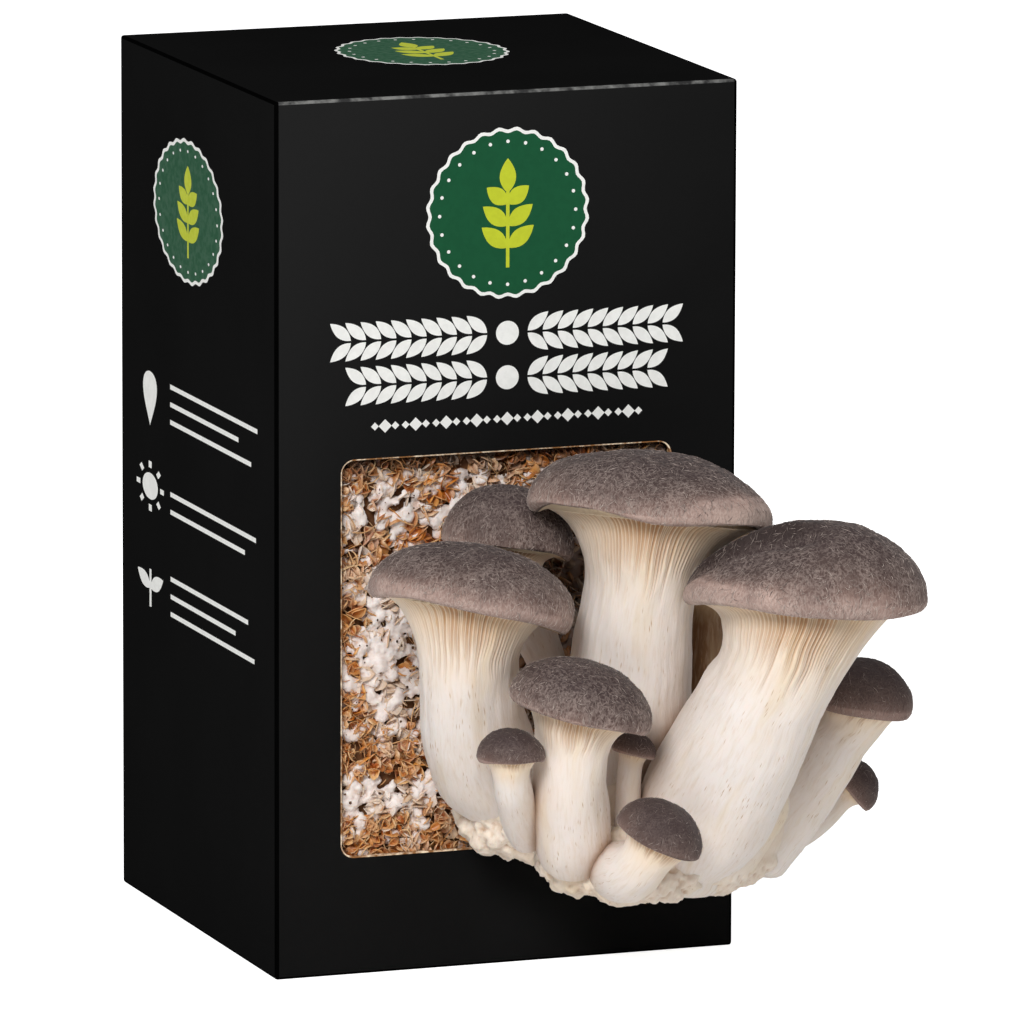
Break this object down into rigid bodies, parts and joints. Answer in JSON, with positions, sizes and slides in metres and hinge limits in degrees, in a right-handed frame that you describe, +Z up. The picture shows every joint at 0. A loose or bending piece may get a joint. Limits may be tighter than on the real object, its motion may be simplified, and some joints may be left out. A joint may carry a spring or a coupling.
{
  "type": "oyster mushroom grow kit",
  "caption": "Tall black carton with a cut-out window, the colonised grain block inside it and the cluster of thick-stemmed, grey-brown capped mushrooms growing out through the window.",
  "frame": {"origin": "centre of the carton's underside, on the surface that the kit stands on", "axes": "+Z up the carton, -Y out of the panel with the window, +X to the right of someone who looks at the window"},
  "size_m": [0.1889, 0.2716, 0.272],
  "materials": {
    "black_board": "satin",
    "grain_and_threads": "matte",
    "cream_flesh": "satin",
    "nodular_flesh": "matte",
    "grey_brown_velvet": "matte"
  },
  "bodies": {
    "root": {"cap_back_left": "grey_brown_velvet", "cap_back_small": "grey_brown_velvet", "cap_centre_tall": "grey_brown_velvet", "cap_front_low": "grey_brown_velvet", "cap_front_middle": "grey_brown_velvet", "cap_front_small": "grey_brown_velvet", "cap_left_large": "grey_brown_velvet", "cap_middle_small": "grey_brown_velvet", "cap_right_large": "grey_brown_velvet", "cap_right_middle": "grey_brown_velvet", "cap_right_small": "grey_brown_velvet", "carton": "black_board", "cluster_foot": "nodular_flesh", "stem_back_left": "cream_flesh", "stem_back_small": "cream_flesh", "stem_centre_tall": "cream_flesh", "stem_front_low": "cream_flesh", "stem_front_middle": "cream_flesh", "stem_front_small": "cream_flesh", "stem_left_large": "cream_flesh", "stem_middle_small": "cream_flesh", "stem_right_large": "cream_flesh", "stem_right_middle": "cream_flesh", "stem_right_small": "cream_flesh", "substrate_block": "grain_and_threads"}
  },
  "joints": []
}
